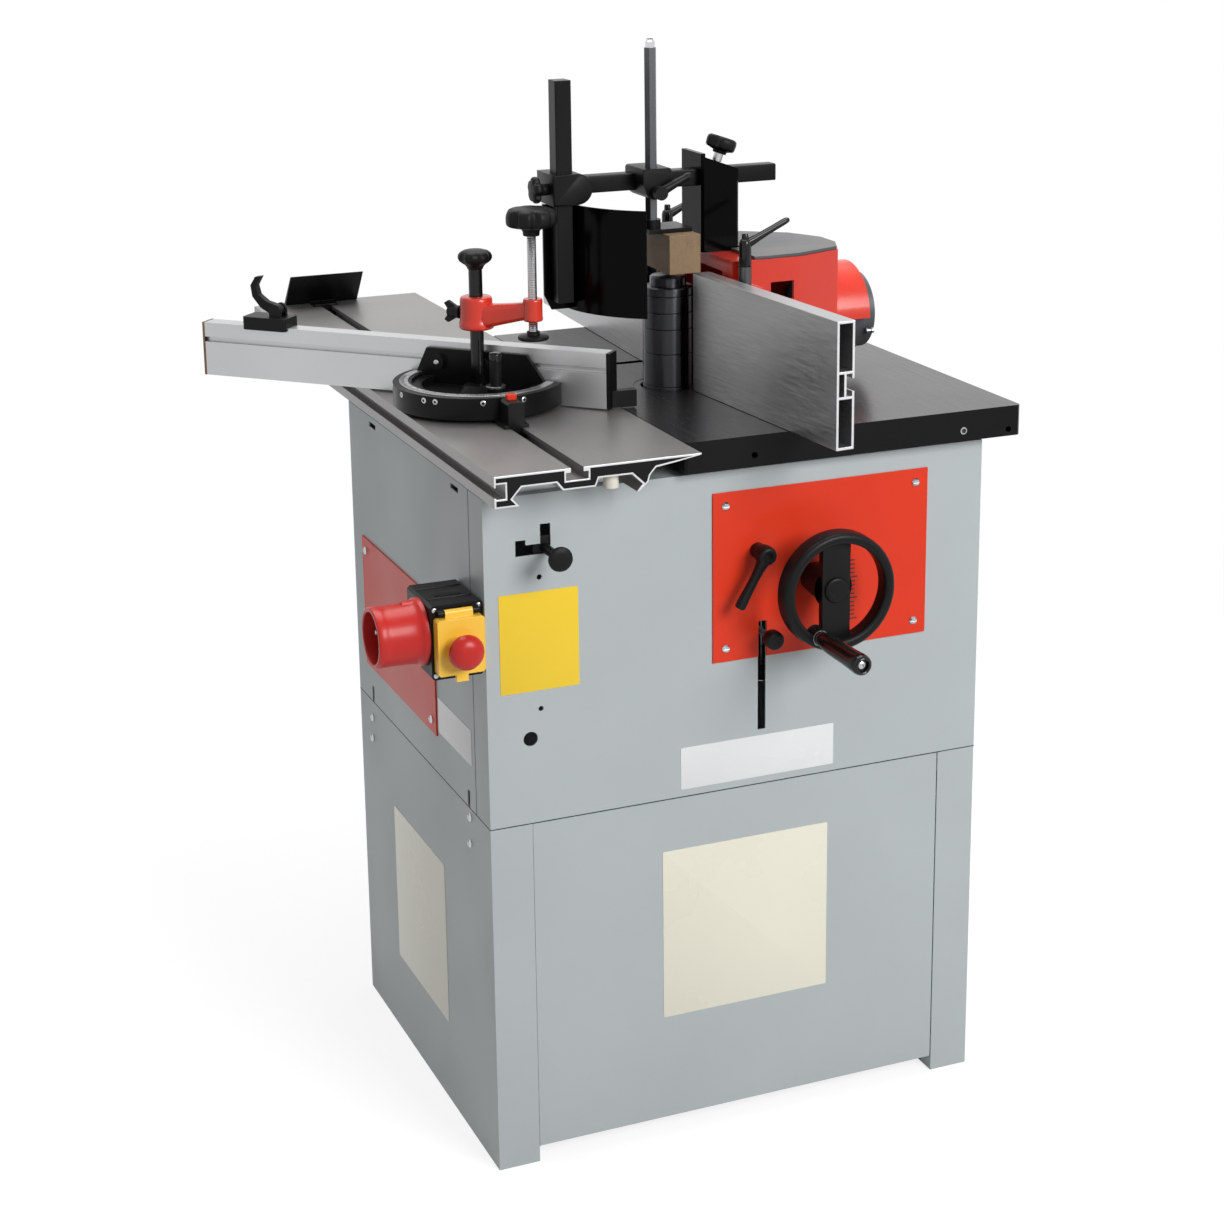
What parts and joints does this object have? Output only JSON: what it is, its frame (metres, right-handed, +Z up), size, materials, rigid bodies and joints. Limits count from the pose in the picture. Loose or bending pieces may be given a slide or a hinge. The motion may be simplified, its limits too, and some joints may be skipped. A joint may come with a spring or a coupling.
{
  "type": "spindle moulder",
  "caption": "Floor-standing spindle moulder with sliding table, mitre gauge and clamp, skewed fences, dust hood, cutter guard and handwheel lift",
  "frame": {"origin": "on the floor, at the centre of the four floor bolts under the cabinet", "axes": "+X to the right as seen from the handwheel side, +Y to the back along the sliding table, +Z up"},
  "size_m": [0.8325, 1.1263, 1.268],
  "materials": {
    "cabinet_grey": "smooth powder coat",
    "signal_red": "gloss paint",
    "bright_steel": "bright turned steel",
    "table_iron": "planed and oiled top",
    "grey_iron": "rough casting",
    "anodised": "grey anodised",
    "brushed_aluminium": "brushed along its length",
    "ground_chrome": "ground and polished",
    "black_plastic": "fine grain",
    "black_metal": "semi-gloss paint",
    "red_plastic": "moulded",
    "yellow_plastic": "moulded",
    "white_nylon": "turned",
    "motor_grey": "paint",
    "belt_rubber": "matte",
    "pale_wood": "planed beech"
  },
  "bodies": {
    "cabinet": {"base_left_side": "cabinet_grey", "base_right_side": "cabinet_grey", "base_panels": "cabinet_grey", "upper_housing": "cabinet_grey", "access_panel": "cabinet_grey", "control_plate": "signal_red", "side_plate": "signal_red", "cover_screws": "bright_steel", "main_table": "table_iron", "table_ring": "table_iron", "slide_rail": "anodised", "switch_box": "black_plastic", "inlet": "red_plastic", "lift_frame": "grey_iron"},
    "lift": {"spindle_carriage": "grey_iron", "motor": "motor_grey", "drive_belt": "belt_rubber"},
    "rotor": {"motor_shaft": "bright_steel"},
    "spindle": {"spindle_arbor": "ground_chrome", "spacer_collars": "ground_chrome"},
    "screw": {"lead_screw": "bright_steel"},
    "wheel": {"handwheel": "black_plastic"},
    "crank": {"crank_handle": "black_plastic"},
    "lift_lock": {"lift_lock_lever": "black_plastic"},
    "tension": {"tension_knob": "black_plastic"},
    "spindle_lock": {"spindle_lock_knob": "black_plastic"},
    "flap": {"switch_flap": "yellow_plastic"},
    "stop_knob": {"stop_button": "red_plastic"},
    "slide": {"slide_table": "anodised", "slide_pegs": "white_nylon"},
    "shoe": {"edging_shoe": "black_metal"},
    "mitre_base": {"mitre_foot": "black_plastic", "mitre_post": "bright_steel"},
    "mitre_head": {"mitre_dial": "black_plastic", "dial_scale": "bright_steel", "mitre_fence": "brushed_aluminium", "fence_caps": "black_plastic"},
    "post_grip": {"post_knob": "black_plastic"},
    "arm": {"clamp_arm": "signal_red"},
    "arm_lock": {"arm_lock_knob": "black_plastic"},
    "pad": {"clamp_pad": "black_plastic"},
    "screw_grip": {"clamp_screw": "black_plastic"},
    "stop": {"stop_block": "black_plastic"},
    "stop_hook": {"stop_lever": "black_plastic"},
    "hood": {"hood_shell": "signal_red", "hood_lid": "black_metal", "extraction_spigot": "black_plastic", "guard_post": "black_metal"},
    "fence_front": {"front_fence": "brushed_aluminium"},
    "fence_rear": {"rear_fence": "brushed_aluminium"},
    "lever_front": {"hood_lever_front": "bright_steel"},
    "lever_rear": {"hood_lever_rear": "bright_steel"},
    "guard_grip": {"guard_post_knob": "black_plastic"},
    "guard": {"guard_bar": "black_metal"},
    "presser": {"hex_rod": "bright_steel", "presser_block": "pale_wood"},
    "presser_grip": {"presser_lever": "black_plastic"},
    "end_grip": {"end_clamp_knob": "black_plastic"},
    "upright": {"guard_upright": "black_metal", "shield": "black_metal"}
  },
  "joints": [
    {"name": "spindle_lift", "type": "slide", "parent": "cabinet", "child": "lift", "axis": [0, 0, 1], "range_m": [-0.1, 0.004]},
    {"name": "motor_spin", "type": "hinge", "parent": "lift", "child": "rotor", "pos_m": [0.19, 0.11, 0.6], "axis": [0, 0, 1], "continuous": true},
    {"name": "spindle_spin", "type": "hinge", "parent": "lift", "child": "spindle", "pos_m": [0.02, 0, 0.85], "axis": [0, 0, 1], "continuous": true},
    {"name": "screw_turn", "type": "hinge", "parent": "cabinet", "child": "screw", "pos_m": [0.088, -0.12, 0.6], "axis": [0, 0, 1], "continuous": true},
    {"name": "wheel_turn", "type": "hinge", "parent": "cabinet", "child": "wheel", "pos_m": [0.088, -0.3, 0.671], "axis": [0, 1, 0], "continuous": true},
    {"name": "crank_spin", "type": "hinge", "parent": "wheel", "child": "crank", "pos_m": [0.061, -0.38, 0.622], "axis": [0, 1, 0], "continuous": true},
    {"name": "lift_lock_turn", "type": "hinge", "parent": "cabinet", "child": "lift_lock", "pos_m": [0.017, -0.27, 0.711], "axis": [0, 1, 0], "range_deg": [-30, 45]},
    {"name": "tension_turn", "type": "hinge", "parent": "lift", "child": "tension", "pos_m": [0.0245, -0.283, 0.611], "axis": [0, 1, 0], "range_deg": [-90, 90]},
    {"name": "lock_shift", "type": "slide", "parent": "cabinet", "child": "spindle_lock", "axis": [1, 0, 0], "range_m": [-0.029, 0]},
    {"name": "flap_turn", "type": "hinge", "parent": "cabinet", "child": "flap", "pos_m": [-0.34, -0.252, 0.686], "axis": [1, 0, 0], "range_deg": [-100, 0]},
    {"name": "stop_press", "type": "slide", "parent": "flap", "child": "stop_knob", "axis": [0, 1, 0], "range_m": [0, 0.005], "stiffness_N_per_m": 120},
    {"name": "table_slide", "type": "slide", "parent": "cabinet", "child": "slide", "axis": [0, 1, 0], "range_m": [-0.42, 0.045]},
    {"name": "shoe_slide", "type": "slide", "parent": "slide", "child": "shoe", "axis": [0, 1, 0], "range_m": [-0.3, 0]},
    {"name": "mitre_slide", "type": "slide", "parent": "slide", "child": "mitre_base", "axis": [0, 1, 0], "range_m": [-0.12, 0.1]},
    {"name": "mitre_swivel", "type": "hinge", "parent": "mitre_base", "child": "mitre_head", "pos_m": [-0.22365, 0, 0.862], "axis": [0, 0, 1], "range_deg": [-35, 45]},
    {"name": "post_knob_turn", "type": "hinge", "parent": "mitre_base", "child": "post_grip", "pos_m": [-0.22365, 0, 1.02], "axis": [0, 0, 1], "range_deg": [-90, 90]},
    {"name": "arm_swing", "type": "hinge", "parent": "mitre_base", "child": "arm", "pos_m": [-0.22365, 0, 0.958], "axis": [0, 0, 1], "range_deg": [-120, 0]},
    {"name": "arm_lock_turn", "type": "hinge", "parent": "arm", "child": "arm_lock", "pos_m": [-0.24333, 0.02264, 0.9585], "axis": [-0.6561, 0.7547, 0], "range_deg": [-90, 90]},
    {"name": "clamp_travel", "type": "slide", "parent": "arm", "child": "pad", "axis": [0, 0, 1], "range_m": [-0.05, 0]},
    {"name": "clamp_screw_turn", "type": "hinge", "parent": "pad", "child": "screw_grip", "pos_m": [-0.17445, -0.0566, 1], "axis": [0, 0, 1], "continuous": true},
    {"name": "stop_slide", "type": "slide", "parent": "mitre_head", "child": "stop", "axis": [0.7071, -0.7071, 0], "range_m": [-0.03, 0.15]},
    {"name": "stop_flip", "type": "hinge", "parent": "stop", "child": "stop_hook", "pos_m": [-0.40255, 0.22132, 0.938], "axis": [0.7071, 0.7071, 0], "range_deg": [0, 60]},
    {"name": "hood_slide", "type": "slide", "parent": "cabinet", "child": "hood", "axis": [1, 0, 0], "range_m": [-0.008, 0.03]},
    {"name": "front_fence_slide", "type": "slide", "parent": "hood", "child": "fence_front", "axis": [-0.068, 0.9977, 0], "range_m": [-0.15, 0.01]},
    {"name": "rear_fence_slide", "type": "slide", "parent": "hood", "child": "fence_rear", "axis": [0.0523, 0.9986, 0], "range_m": [-0.05, 0.12]},
    {"name": "front_lever_turn", "type": "hinge", "parent": "hood", "child": "lever_front", "pos_m": [0.072, -0.106, 1], "axis": [0, 0, 1], "range_deg": [-30, 60]},
    {"name": "rear_lever_turn", "type": "hinge", "parent": "hood", "child": "lever_rear", "pos_m": [0.077, 0.132, 1], "axis": [0, 0, 1], "range_deg": [-60, 30]},
    {"name": "guard_knob_turn", "type": "hinge", "parent": "hood", "child": "guard_grip", "pos_m": [0.084, 0, 1.117], "axis": [0.342, 0, 0.9397], "range_deg": [-90, 90]},
    {"name": "guard_slide", "type": "slide", "parent": "hood", "child": "guard", "axis": [1, 0, 0], "range_m": [-0.007, 0.015]},
    {"name": "presser_lift", "type": "slide", "parent": "guard", "child": "presser", "axis": [0, 0, 1], "range_m": [-0.002, 0.02]},
    {"name": "presser_lever_turn", "type": "hinge", "parent": "guard", "child": "presser_grip", "pos_m": [-0.0114, -0.048, 1.092], "axis": [0, 1, 0], "range_deg": [-45, 45]},
    {"name": "end_knob_turn", "type": "hinge", "parent": "guard", "child": "end_grip", "pos_m": [-0.15, -0.022, 1.101], "axis": [1, 0, 0], "range_deg": [-90, 90]},
    {"name": "shield_lift", "type": "slide", "parent": "guard", "child": "upright", "axis": [0, 0, 1], "range_m": [-0.035, 0]}
  ],
  "couplings": [
    {"joint": "spindle_spin", "follows": "motor_spin", "ratio": 2},
    {"joint": "screw_turn", "follows": "spindle_lift", "rad_per_m": 628.32},
    {"joint": "wheel_turn", "follows": "spindle_lift", "rad_per_m": 628.32},
    {"joint": "clamp_screw_turn", "follows": "clamp_travel", "rad_per_m": 1570.8}
  ]
}
